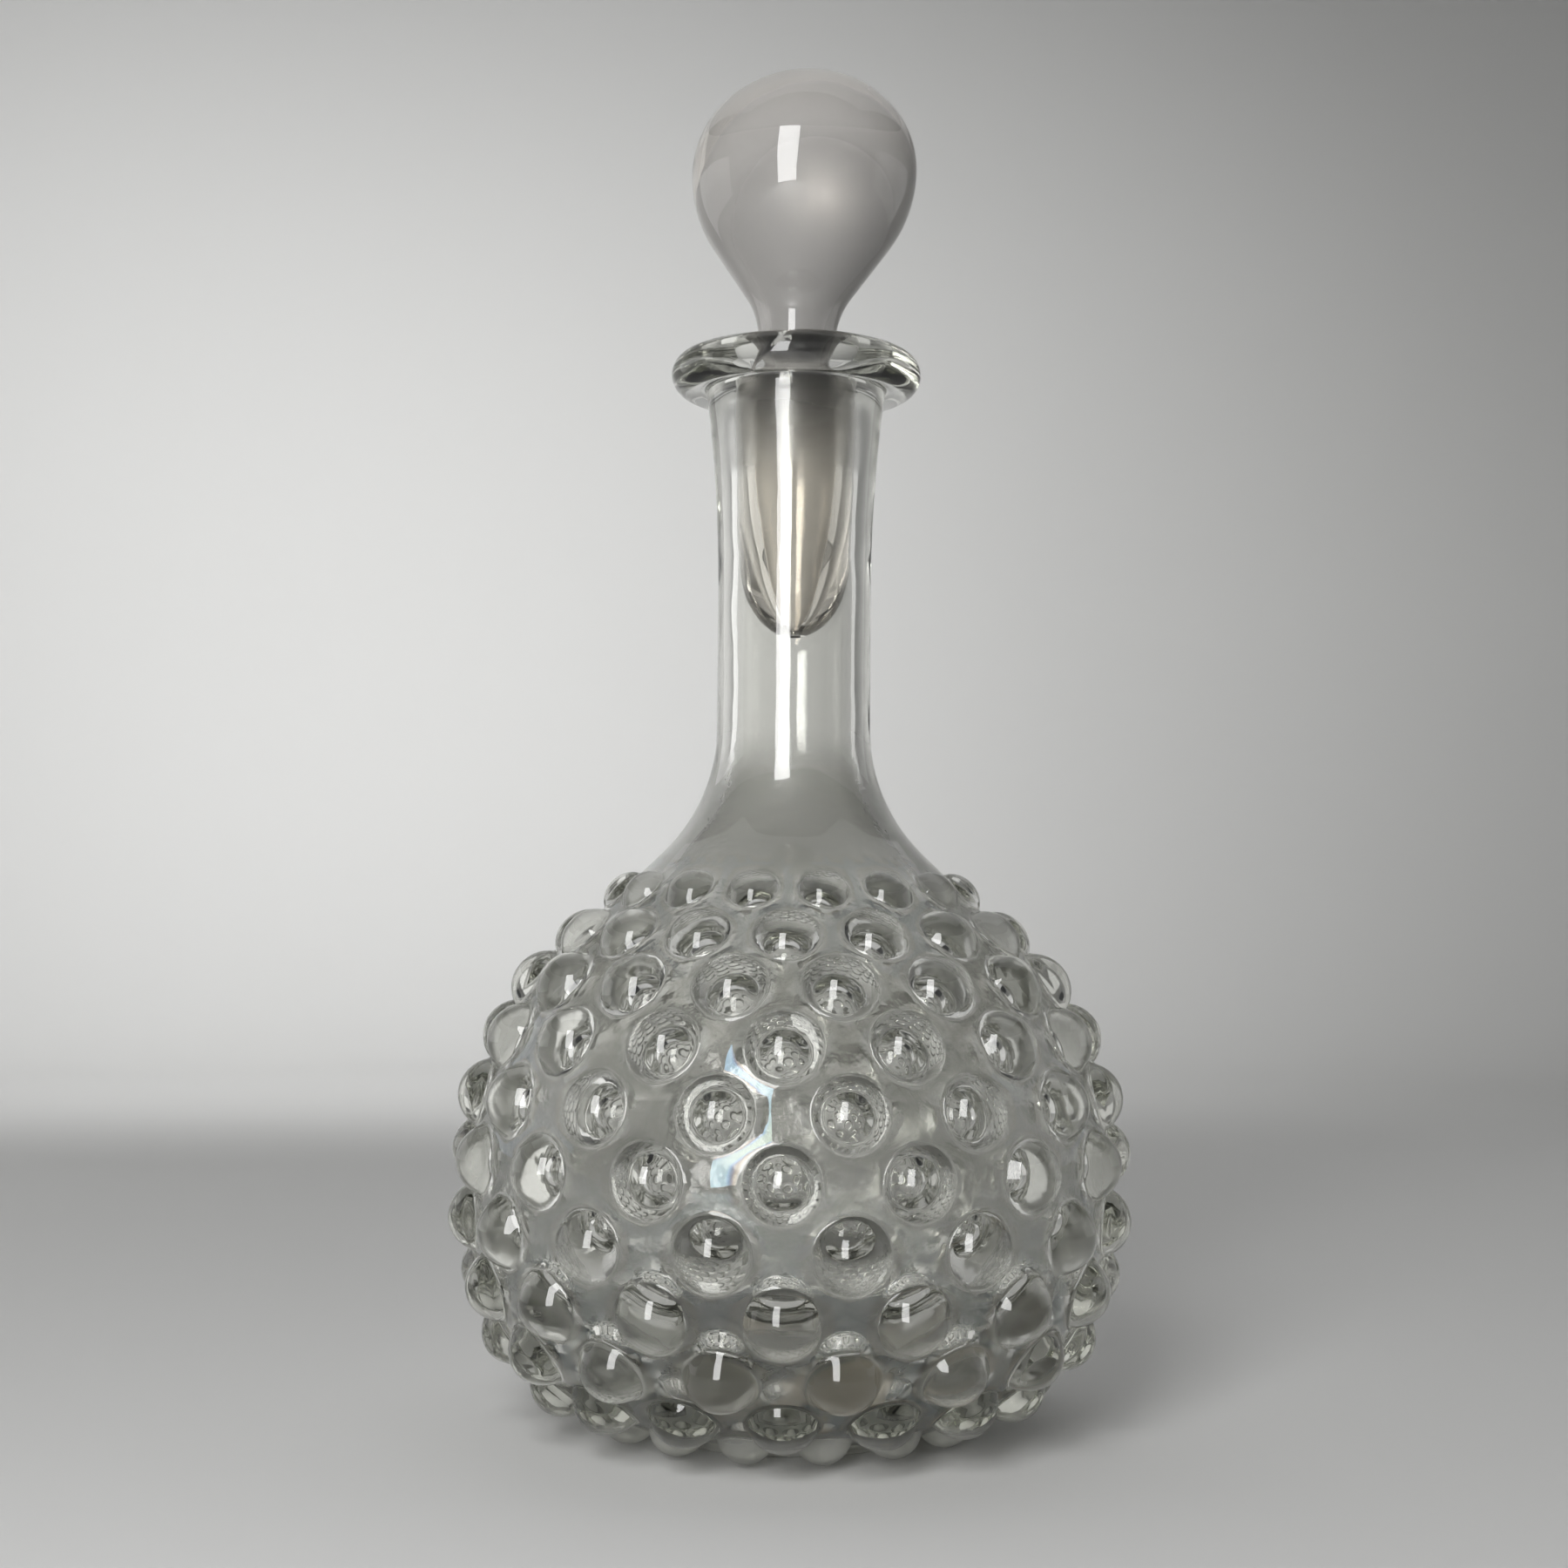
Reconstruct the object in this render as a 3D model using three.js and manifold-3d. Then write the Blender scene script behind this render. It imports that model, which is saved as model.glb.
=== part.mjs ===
// A mould-blown hobnail decanter with an applied lip ring and a hollow-blown ball stopper.
// Millimetres, +Z up, standing on its foot ring with the axis of the bottle at the origin.
import * as THREE from 'three';
import { mergeGeometries, mergeVertices } from 'three/addons/utils/BufferGeometryUtils.js';
import Module from 'manifold-3d';

const wasm = await Module();
wasm.setup();

const radians = THREE.MathUtils.degToRad;

// Foot
const footRadius = 25.5;
const footRingWidth = 6.5;
const pushUpHeight = 3.5; // hollow under the base
const baseThickness = 5.5; // glass over the crown of the push-up

// Body, measured on the plain surface that the hobs rise from
const bellyRadius = 59.35;
const bellyHeight = 49.5; // widest section above the table
const heelFullness = 2.73; // exponent of the superellipse below the belly, 2 is a plain ellipse
const crownArcRadius = 57.5; // section arc from the belly up to the shoulder
const shoulderSlope = radians(46); // of the straight shoulder, leaning in from upright
const wall = 3.75;

// Neck
const neckRadius = 14.65; // narrowest, outside
const shoulderArcRadius = 32.9; // section arc that turns the shoulder into the neck
const neckPlainLength = 26; // above the shoulder, before the neck widens
const neckFlareLength = 46.2; // from there to the mouth
const neckFlareArcRadius = 300;
const mouthChamfer = 0.9;

// Lip ring, a thick trail of glass laid round the mouth
const lipWidth = 6.8; // from the neck outwards
const lipHeight = 7.8;
const lipRounding = 3.4; // how far the round outer edge stands past the flat top
const lipSeam = 0.3; // between the trail and the neck

// Ground joint of stopper and neck
const groundDepth = 8.7; // of its top below the mouth
const groundLength = 31;
const groundTaper = 0.025; // change of radius per millimetre of height
const groundClearance = 0.3;

// Stopper
const plugEndLength = 15; // rounded end below the ground zone
const plugWall = 3.2; // at the top of the ground zone, and thicker below
const plugHollowLength = 43; // from there down to the tip of the hollow
const blowHoleRadius = 1.3; // left in the drawn tip
const shankRise = 3; // of the narrowest section above the mouth
const shankDraw = 3.9; // how much narrower it is than the top of the ground zone
const shankArcRadius = 15.3;
const bulbRadius = 21.8;
const bulbLowerArcRadius = 24.4;
const bulbFlankSlope = radians(35.2); // of the straight flank, leaning out from upright
const bulbUpperHeight = 19.5; // from the widest section to the top
const bulbWall = 2.5; // of the shank and the flank
const bulbHollowDrop = 6; // of the middle of the round hollow below the widest section
const bulbLean = radians(2.2); // towards +X, above the mouth

// Hobs, in rows of equal count, each row turned half a pitch against the next
const hobsPerRow = 16;
const hobRows = 11;
const hobDiameter = 13.4;
const hobHeight = 4.7;
const hobShareOfPitch = 0.76; // widest that a hob may be, on the narrow rows
const hobUpperFall = 0.2; // share by which the hobs flatten from the middle row to the highest
const hobTableClearance = 1.2;
const hobFootMargin = 0.75; // plain glass between the foot and the hobbed skin
const hobTopMargin = 1.95; // plain shoulder above the hobbed skin
const cellSideShare = 0.25; // of a cell's upright sides, in half the rows' pitch either way

// How finely round forms are cut into facets
const chordSag = 0.12; // how far a facet of a section may lie inside its curve
const turnFacets = 2 * hobsPerRow;
const stopperFacets = 26;
const hobFacets = 8;
const hobRingShare = 0.5; // of the way from a hob's rim to its top, for the ring of corners
const joinReach = 1e-5; // corners closer than this are one corner

const point = (radius, height) => new THREE.Vector2(radius, height);
const line = (from, to) => new THREE.LineCurve(from, to);

// An arc of a circle or, with a second radius, of an ellipse; angles in radians from +radius
function arc(centre, radius, from, to, upright = radius) {
  return new THREE.EllipseCurve(centre.x, centre.y, radius, upright, from, to, to < from);
}

// The point of a circle at an angle
function onCircle(centre, radius, angle) {
  return centre.clone().add(point(radius * Math.cos(angle), radius * Math.sin(angle)));
}

// A superellipse below its centre, from the angle given up to the widest section
class HeelCurve extends THREE.Curve {
  constructor(centre, radius, depth, bottomAngle) {
    super();
    Object.assign(this, { centre, radius, depth, bottomAngle });
  }

  getPoint(t, target = new THREE.Vector2()) {
    const angle = this.bottomAngle * (1 - t);
    const power = 2 / heelFullness;
    return target.set(
      this.centre.x + this.radius * Math.cos(angle) ** power,
      this.centre.y - this.depth * Math.sin(angle) ** power,
    );
  }
}

// The angle at which the outer heel has drawn in to a radius
const heelAngleAt = (radius) => Math.acos((radius / bellyRadius) ** (heelFullness / 2));

// Points along curves that follow each other. A curve that turns by an angle along a length is cut
// into enough chords that each stays within chordSag of it.
function follow(...curves) {
  const points = [];
  for (const curve of curves) {
    const quarters = [0, 0.25, 0.5, 0.75, 1].map((t) => curve.getTangentAt(t));
    const bend = quarters.slice(1).reduce((sum, now, i) => sum + now.angleTo(quarters[i]), 0);
    const chords = Math.sqrt((curve.getLength() * bend) / (8 * chordSag));
    const run = curve.getSpacedPoints(Math.max(1, Math.ceil(chords)));
    if (points.length > 0 && points.at(-1).distanceTo(run[0]) < joinReach) run.shift();
    points.push(...run);
  }
  return points;
}

// Heights and radii that follow from the sizes above, from the shoulder up
const crownEnd = onCircle(
  point(bellyRadius - crownArcRadius, bellyHeight),
  crownArcRadius,
  shoulderSlope,
);
const hollowStartRadius = neckRadius + shoulderArcRadius * (1 - Math.cos(shoulderSlope));
const shoulderTop =
  crownEnd.y +
  (crownEnd.x - hollowStartRadius) / Math.tan(shoulderSlope) +
  shoulderArcRadius * Math.sin(shoulderSlope);
const neckFlareBottom = shoulderTop + neckPlainLength;
const mouthHeight = neckFlareBottom + neckFlareLength;
const lipBottom = mouthHeight - lipHeight;
const boreRadius = neckRadius - wall;
const groundTop = mouthHeight - groundDepth;
const groundBottom = groundTop - groundLength;
const socketRadiusAt = (height) => boreRadius + groundTaper * (height - groundBottom);
const plugRadiusAt = (height) => socketRadiusAt(height) - groundClearance;
const shankHeight = mouthHeight + shankRise;
const shankRadius = plugRadiusAt(groundTop) - shankDraw;

// The body in section, inset from the outside by a wall: heel, crown, a straight shoulder that
// touches both arcs, and the arc that becomes the neck
function bodyCurves(inset, heelDepth, heelAngle) {
  const belly = point(bellyRadius - crownArcRadius, bellyHeight);
  const hollow = point(neckRadius + shoulderArcRadius, shoulderTop);
  const crown = crownArcRadius - inset;
  const hollowRadius = shoulderArcRadius + inset;
  const hollowAngle = Math.PI + shoulderSlope;
  return {
    heel: new HeelCurve(point(0, bellyHeight), bellyRadius - inset, heelDepth, heelAngle),
    crown: arc(belly, crown, 0, shoulderSlope),
    shoulder: line(
      onCircle(belly, crown, shoulderSlope),
      onCircle(hollow, hollowRadius, hollowAngle),
    ),
    hollow: arc(hollow, hollowRadius, hollowAngle, Math.PI),
  };
}

const outside = bodyCurves(0, bellyHeight, heelAngleAt(footRadius));

// The outside of the neck where it widens, which ends under the lip ring and goes straight up there
const flareAngle = Math.asin((lipBottom - neckFlareBottom) / neckFlareArcRadius);
const flare = arc(
  point(neckRadius + neckFlareArcRadius, neckFlareBottom),
  neckFlareArcRadius,
  Math.PI,
  Math.PI - flareAngle,
);
const flaredRadius = flare.getPoint(1).x;

// The surface that carries the hobs. It is covered by hexagons in staggered rows, two sides upright
// and a point above and below, from the lowest row, which is row 0, to the highest.
const surface = new THREE.CurvePath();
surface.curves.push(outside.heel, outside.crown, outside.shoulder);
const turn = (2 * Math.PI) / hobsPerRow;
const skinLength = surface.getLength() - hobFootMargin - hobTopMargin;
const hobRowPitch = skinLength / (hobRows + 1 - 2 * cellSideShare);
const cellSide = cellSideShare * hobRowPitch;
const cellPoint = hobRowPitch - cellSide;

// Share of the surface's length at a distance along it above the middle of a row
function shareAt(row, above) {
  return (hobFootMargin + cellPoint + row * hobRowPitch + above) / surface.getLength();
}
const surfaceAt = (row, above) => surface.getPointAt(shareAt(row, above));

// A solid from a closed three.js geometry that holds positions alone: corners that meet are joined,
// and triangles that shrink to nothing on the axis are dropped
function solidOf(geometry) {
  const merged = mergeVertices(geometry, joinReach);
  const corners = merged.index.array;
  const kept = [];
  for (let i = 0; i < corners.length; i += 3) {
    const [a, b, c] = corners.subarray(i, i + 3);
    if (a !== b && b !== c && c !== a) kept.push(a, b, c);
  }
  const mesh = new wasm.Mesh({
    numProp: 3,
    vertProperties: new Float32Array(merged.attributes.position.array),
    triVerts: new Uint32Array(kept),
  });
  return new wasm.Manifold(mesh);
}

function geometryOf(solid) {
  const mesh = solid.getMesh();
  const geometry = new THREE.BufferGeometry();
  geometry.setAttribute('position', new THREE.BufferAttribute(mesh.vertProperties, 3));
  geometry.setIndex(new THREE.BufferAttribute(mesh.triVerts, 1));
  geometry.computeVertexNormals();
  return geometry;
}

// A section turned about the Z axis, with its positions alone; its first facet starts at -Y
function turned(section, facets) {
  const geometry = new THREE.LatheGeometry(section, facets).rotateX(Math.PI / 2);
  geometry.deleteAttribute('normal');
  geometry.deleteAttribute('uv');
  return geometry;
}

// Radius and height of the hobs of a row. They shrink where the row is narrow or near the table,
// and they flatten towards the neck.
function hobSize(row, foot, outwards) {
  const radius = Math.min(hobDiameter / 2, (hobShareOfPitch * turn * foot.x) / 2);
  const middleRow = (hobRows - 1) / 2;
  const fall = hobUpperFall * Math.max(0, row / middleRow - 1);
  const height = (1 - fall) * hobHeight * (radius / (hobDiameter / 2));
  const room = outwards.y < 0 ? (foot.y - hobTableClearance) / -outwards.y : Infinity;
  return { radius, height: Math.min(height, room) };
}

// Corners round a hob at a share of the way from its rim to its top. A hob is a cap of a sphere,
// whose radius follows from the cap's own radius and height.
function hobRing({ radius, height }, share) {
  const sphereRadius = (radius ** 2 + height ** 2) / (2 * height);
  const centre = height - sphereRadius;
  const rimAngle = Math.asin(-centre / sphereRadius);
  const angle = THREE.MathUtils.lerp(rimAngle, Math.PI / 2, share);
  const reach = sphereRadius * Math.cos(angle);
  const rise = centre + sphereRadius * Math.sin(angle);
  return Array.from({ length: hobFacets }, (_, i) => {
    const round = (2 * Math.PI * (i + 0.5)) / hobFacets;
    return new THREE.Vector3(reach * Math.cos(round), reach * Math.sin(round), rise);
  });
}

// One cell of the skin laid flat: x round the body, y up its section and z out of the glass. The
// cell is a hexagon with its dome, and the first and last rows get corner pieces to end level.
function flatCell(row, halfWidth, hob) {
  const corners = [
    [0, -cellPoint],
    [halfWidth, -cellSide],
    [halfWidth, cellSide],
    [0, cellPoint],
    [-halfWidth, cellSide],
    [-halfWidth, -cellSide],
  ].map(([x, y]) => new THREE.Vector3(x, y, 0));
  const rim = hobRing(hob, 0);
  const ring = hobRing(hob, hobRingShare);
  const points = [...corners, ...rim, ...ring, new THREE.Vector3(0, 0, hob.height)];
  const faces = THREE.ShapeUtils.triangulateShape(corners, [rim]);
  const rimStart = corners.length;
  const ringStart = rimStart + hobFacets;
  const top = points.length - 1;
  for (let i = 0; i < hobFacets; i += 1) {
    const next = (i + 1) % hobFacets;
    faces.push([rimStart + i, rimStart + next, ringStart + i]);
    faces.push([ringStart + i, rimStart + next, ringStart + next]);
    faces.push([ringStart + i, ringStart + next, top]);
  }
  // The rows that end level, with the numbers of the corners at their tip and beside it
  const levelRows = [
    { end: 0, side: -1, tip: 0, right: 1, left: 5 },
    { end: hobRows - 1, side: 1, tip: 3, right: 2, left: 4 },
  ];
  for (const { side, tip, right, left } of levelRows.filter(({ end }) => end === row)) {
    const levelRight = points.push(new THREE.Vector3(halfWidth, side * cellPoint, 0)) - 1;
    const levelLeft = points.push(new THREE.Vector3(-halfWidth, side * cellPoint, 0)) - 1;
    const pieces = [[tip, right, levelRight], [tip, levelLeft, left]];
    faces.push(...pieces.map((piece) => (side > 0 ? piece : piece.reverse())));
  }
  return { points, faces };
}

// The hobbed skin: every cell wrapped onto the body at its row and its turn round the axis. A hob
// of every other row faces -Y, the middle row of eleven among them.
function skinGeometry() {
  const cells = [];
  for (let row = 0; row < hobRows; row += 1) {
    const foot = surfaceAt(row, 0);
    const uphill = surface.getTangentAt(shareAt(row, 0));
    const outwards = point(uphill.y, -uphill.x);
    const { points, faces } = flatCell(row, (turn / 2) * foot.x, hobSize(row, foot, outwards));
    const stagger = row % 2 === 0 ? turn / 2 : 0;
    for (let place = 0; place < hobsPerRow; place += 1) {
      const middle = turn * place + stagger - Math.PI / 2;
      const wrapped = points.flatMap(({ x, y, z }) => {
        const on = surfaceAt(row, y);
        const angle = middle + x / foot.x;
        return [
          on.x * Math.cos(angle) + z * outwards.x * Math.cos(middle),
          on.x * Math.sin(angle) + z * outwards.x * Math.sin(middle),
          on.y + z * outwards.y,
        ];
      });
      const cell = new THREE.BufferGeometry();
      cell.setAttribute('position', new THREE.Float32BufferAttribute(wrapped, 3));
      cell.setIndex(faces.flat());
      cells.push(cell);
    }
  }
  return mergeGeometries(cells);
}

// The bottle: a skin of hobs, closed above by neck, mouth, bore and inside wall, and below by the
// foot ring and the push-up
function bottleGeometry() {
  const inside = bodyCurves(wall, bellyHeight - pushUpHeight - baseThickness, Math.PI / 2);
  const rim = socketRadiusAt(mouthHeight);
  const neck = follow(
    outside.hollow,
    flare,
    line(point(flaredRadius, mouthHeight), point(rim + mouthChamfer, mouthHeight)),
  );
  const cavity = follow(
    inside.heel,
    inside.crown,
    inside.shoulder,
    inside.hollow,
    line(point(boreRadius, groundBottom), point(rim, mouthHeight - mouthChamfer)),
  );
  const pushUp = arc(point(0, 0), footRadius - footRingWidth, Math.PI / 2, 0, pushUpHeight);
  const foot = follow(pushUp, line(point(footRadius, 0), outside.heel.getPoint(0)));
  const above = [surfaceAt(hobRows - 1, cellPoint), ...neck, ...cavity.reverse()];
  const below = [...foot, surfaceAt(0, -cellPoint)];
  const parts = [skinGeometry(), turned(above, turnFacets), turned(below, turnFacets)];
  return geometryOf(solidOf(mergeGeometries(parts)));
}

// The lip ring: flat on the inside and top, with a round outer edge
function lipRingGeometry() {
  const innerRadius = flaredRadius + lipSeam;
  const middle = point(innerRadius + lipWidth - lipRounding, lipBottom + lipHeight / 2);
  const edge = arc(middle, lipRounding, -Math.PI / 2, Math.PI / 2, lipHeight / 2);
  const start = point(innerRadius, lipBottom);
  const section = [start, ...follow(edge), point(innerRadius, mouthHeight), start.clone()];
  return geometryOf(solidOf(turned(section, turnFacets)));
}

// Middles of the arcs of the waist and of the lower bulb in section, which the flank touches
const waist = point(shankRadius + shankArcRadius, shankHeight);
const flankFoot = onCircle(waist, shankArcRadius, Math.PI - bulbFlankSlope);
const flankTopRadius = bulbRadius - bulbLowerArcRadius * (1 - Math.cos(bulbFlankSlope));
const bulbHeight =
  flankFoot.y +
  (flankTopRadius - flankFoot.x) / Math.tan(bulbFlankSlope) +
  bulbLowerArcRadius * Math.sin(bulbFlankSlope);
const lowerBulb = point(bulbRadius - bulbLowerArcRadius, bulbHeight);

// From the blow hole up to a rim, along a quarter of an ellipse
function plugEnd(rim, length) {
  return arc(point(0, rim.y), rim.x, -Math.acos(blowHoleRadius / rim.x), 0, length);
}

// From the top of the plug over the collar to the foot of the flank, inset by a wall
function shankCurves(plugTop, inset) {
  const shank = point(shankRadius - inset, shankHeight);
  const middle = (plugTop.y + shank.y) / 2;
  const collar = [plugTop, point(plugTop.x, middle), point(shank.x, middle), shank];
  return [
    new THREE.CubicBezierCurve(...collar),
    arc(waist, shankArcRadius + inset, Math.PI, Math.PI - bulbFlankSlope),
  ];
}

function stopperOutside() {
  const plugBottom = point(plugRadiusAt(groundBottom), groundBottom);
  const plugTop = point(plugRadiusAt(groundTop), groundTop);
  return follow(
    plugEnd(plugBottom, plugEndLength),
    line(plugBottom, plugTop),
    ...shankCurves(plugTop, 0),
    line(flankFoot, onCircle(lowerBulb, bulbLowerArcRadius, -bulbFlankSlope)),
    arc(lowerBulb, bulbLowerArcRadius, -bulbFlankSlope, 0),
    arc(point(0, bulbHeight), bulbRadius, 0, Math.PI / 2, bulbUpperHeight),
  );
}

// The hollow narrows to the blow hole in the plug and ends round in the bulb, in an arc about the
// axis that touches the flank's wall, so most of the glass gathers at the top
function stopperHollow() {
  const plugTop = point(plugRadiusAt(groundTop) - plugWall, groundTop);
  const wallFoot = onCircle(waist, shankArcRadius + bulbWall, Math.PI - bulbFlankSlope);
  const middle = point(0, bulbHeight - bulbHollowDrop);
  const across = point(Math.cos(bulbFlankSlope), -Math.sin(bulbFlankSlope));
  const hollowRadius = wallFoot.clone().sub(middle).dot(across);
  return follow(
    plugEnd(plugTop, plugHollowLength),
    ...shankCurves(plugTop, bulbWall),
    line(wallFoot, onCircle(middle, hollowRadius, -bulbFlankSlope)),
    arc(middle, hollowRadius, -bulbFlankSlope, Math.PI / 2),
  );
}

// Leans what is above the mouth: each level slides sideways in proportion to its height
function lean(geometry) {
  const position = geometry.attributes.position;
  for (let i = 0; i < position.count; i += 1) {
    const above = Math.max(0, position.getZ(i) - mouthHeight);
    position.setX(i, position.getX(i) + Math.tan(bulbLean) * above);
  }
  return geometry;
}

// The stopper: outside from the blow hole to the top, then back down the hollow
function stopperGeometry() {
  const up = stopperOutside();
  const section = [...up, ...stopperHollow().reverse(), up[0].clone()];
  return geometryOf(solidOf(lean(turned(section, stopperFacets))));
}

const clearGlass = new THREE.MeshStandardMaterial({
  color: 0xc9ccc4,
  roughness: 0.06,
  metalness: 0,
  transparent: true,
  opacity: 0.35,
});
const mistyGlass = new THREE.MeshStandardMaterial({
  color: 0xb9b5af,
  roughness: 0.3,
  metalness: 0,
  transparent: true,
  opacity: 0.6,
});

function named(name, geometry, material) {
  const mesh = new THREE.Mesh(geometry, material);
  mesh.name = name;
  return mesh;
}

const group = new THREE.Group();
group.add(named('bottle', bottleGeometry(), clearGlass));
group.add(named('lip_ring', lipRingGeometry(), clearGlass.clone()));
group.add(named('stopper', stopperGeometry(), mistyGlass));

export default group;
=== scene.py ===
# %% [markdown]
# A hobnail decanter in clear glass, with a hollow ball stopper.
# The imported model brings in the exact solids, and this lesson dresses them: it works out fine
# glass surfaces with numpy, gives them materials made of nodes, and sets up a small studio.
# Lengths are in millimetres until a mesh is made, because that is how a glassmaker would write them.

# %% Load the frame
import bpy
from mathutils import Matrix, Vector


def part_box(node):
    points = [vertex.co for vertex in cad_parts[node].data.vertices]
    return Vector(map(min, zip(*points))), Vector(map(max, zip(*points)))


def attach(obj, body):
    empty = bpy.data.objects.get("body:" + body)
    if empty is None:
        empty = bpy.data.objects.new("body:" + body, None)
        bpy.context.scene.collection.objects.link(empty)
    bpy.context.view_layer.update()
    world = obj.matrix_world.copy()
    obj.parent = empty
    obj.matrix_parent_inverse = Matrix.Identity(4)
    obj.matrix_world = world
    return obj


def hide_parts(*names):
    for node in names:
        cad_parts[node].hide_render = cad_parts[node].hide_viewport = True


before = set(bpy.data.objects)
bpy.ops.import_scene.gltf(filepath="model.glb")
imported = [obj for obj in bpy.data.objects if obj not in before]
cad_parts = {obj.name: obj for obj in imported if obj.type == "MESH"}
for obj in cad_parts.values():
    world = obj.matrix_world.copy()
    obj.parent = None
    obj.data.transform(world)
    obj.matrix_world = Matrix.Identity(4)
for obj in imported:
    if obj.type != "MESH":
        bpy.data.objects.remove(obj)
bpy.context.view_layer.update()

import bmesh
import bpy
import numpy as np
from mathutils import Matrix, Vector

METRE = 1000  # millimetres
MILLILITRES = 1e6  # in a cubic metre


def box_mm(node):
    """Lowest and highest corner of a node, in millimetres."""
    return [np.array(corner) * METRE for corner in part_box(node)]


# %% [markdown]
# The camera comes first, because everything else is judged through it. It stands close to the
# decanter and a little below its middle, so the lip and the stopper are seen from underneath.
# A lens is given as the length of the view in pixels, which is how perspective is measured.

# %% Camera
FRAME_WIDTH = 1800  # pixels
FOCAL_PIXELS = 2561
CAMERA_DISTANCE = 424.9
CAMERA_HEIGHT = 93.6
CAMERA_AZIMUTH = np.radians(1.26)  # round the axis, towards +X
CAMERA_PITCH = np.radians(3.64)  # upwards
CAMERA_ROLL = np.radians(0.4)  # the decanter's top leans right in the picture
AXIS_PIXEL = 910.4  # where the axis crosses the picture's middle line


def add_camera():
    """Looks at the axis: forward is level turned by the azimuth, then tilted by the pitch."""
    level = np.array([-np.sin(CAMERA_AZIMUTH), np.cos(CAMERA_AZIMUTH), 0])
    forward = np.cos(CAMERA_PITCH) * level + np.array([0, 0, np.sin(CAMERA_PITCH)])
    right = np.cross(forward, [0, 0, 1])
    right /= np.linalg.norm(right)
    up = np.cross(right, forward)
    rolled_right = np.cos(CAMERA_ROLL) * right + np.sin(CAMERA_ROLL) * up
    rolled_up = np.cos(CAMERA_ROLL) * up - np.sin(CAMERA_ROLL) * right
    camera = bpy.data.objects.new("camera", bpy.data.cameras.new("camera"))
    bpy.context.scene.collection.objects.link(camera)
    camera.data.lens = camera.data.sensor_width * FOCAL_PIXELS / FRAME_WIDTH
    camera.data.shift_x = (FRAME_WIDTH / 2 - AXIS_PIXEL) / FRAME_WIDTH
    camera.data.clip_start = 0.02
    turn_matrix = Matrix([*zip(rolled_right, rolled_up, -forward)])
    place = Vector((*(-CAMERA_DISTANCE * level[:2]), CAMERA_HEIGHT)) / METRE
    camera.matrix_world = Matrix.Translation(place) @ turn_matrix.to_4x4()
    bpy.context.scene.camera = camera
    print("camera at", [round(x, 4) for x in place], "lens", round(camera.data.lens, 2))


add_camera()

# %% [markdown]
# A blown body is a surface of revolution, so one section drawn in radius and height describes it.
# The section could be traced with many points, but a mould-maker thinks in arcs: a full heel,
# a round crown, a straight shoulder and a hollow curve into the neck. Each stretch is one formula.

# %% Sizes of the bottle
FOOT_RADIUS = 25.5
FOOT_RING_WIDTH = 6.5
PUSH_UP_HEIGHT = 3.5
BASE_THICKNESS = 5.5
BELLY_RADIUS = 59.35
BELLY_HEIGHT = 49.5
HEEL_FULLNESS = 2.73
CROWN_ARC_RADIUS = 57.5
SHOULDER_SLOPE = np.radians(46)
WALL = 3.75
NECK_RADIUS = 14.65
SHOULDER_ARC_RADIUS = 32.9
NECK_FLARE_LENGTH = 46.2
NECK_FLARE_ARC_RADIUS = 300
GROUND_DEPTH = 8.7
GROUND_LENGTH = 31
GROUND_TAPER = 0.025

bottle_low, bottle_high = box_mm("bottle")
lip_low, lip_high = box_mm("lip_ring")
mouth_height = bottle_high[2]
lip_radius = (lip_high[0] - lip_low[0]) / 2
lip_middle = (lip_high[2] + lip_low[2]) / 2
flare_bottom = mouth_height - NECK_FLARE_LENGTH
ground_top = mouth_height - GROUND_DEPTH
ground_bottom = ground_top - GROUND_LENGTH
bore_radius = NECK_RADIUS - WALL
print("mouth at", mouth_height.round(2), "lip radius", lip_radius.round(2), "bore", bore_radius)


# %% Curves of a section
def arc(centre, radius, start, end, steps, upright=None):
    """Centre plus radius times cosine and sine of an angle; upright is a second radius."""
    angle = np.linspace(start, end, steps + 1)
    high = radius if upright is None else upright
    return np.column_stack([centre[0] + radius * np.cos(angle), centre[1] + high * np.sin(angle)])


def straight(start, end, steps):
    """Points at even shares of the way from start to end."""
    return np.linspace(start, end, steps + 1)


def rounded(start, corner, end, steps):
    """A quadratic curve that leaves start towards the corner and reaches end from it."""
    t = np.linspace(0, 1, steps + 1)[:, None]
    return (1 - t) ** 2 * start + 2 * t * (1 - t) * corner + t**2 * end


def heel(radius, depth, angle):
    """A superellipse: radius times the cosine, and depth times the sine, to the power 2/fullness."""
    power = 2 / HEEL_FULLNESS
    return np.column_stack(
        [radius * np.cos(angle) ** power, BELLY_HEIGHT - depth * np.sin(angle) ** power]
    )


SAME_POINT = 1e-6  # millimetres


def chain(*stretches):
    """Stretches of a section one after another, with the points where they meet kept once."""
    points = np.concatenate([np.asarray(stretch, float) for stretch in stretches])
    apart = np.linalg.norm(np.diff(points, axis=0), axis=1)
    return points[np.append(True, apart > SAME_POINT)]


# %% The surface that carries the hobs
SKIN_STEPS = 400  # per stretch, only to look places up


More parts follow.
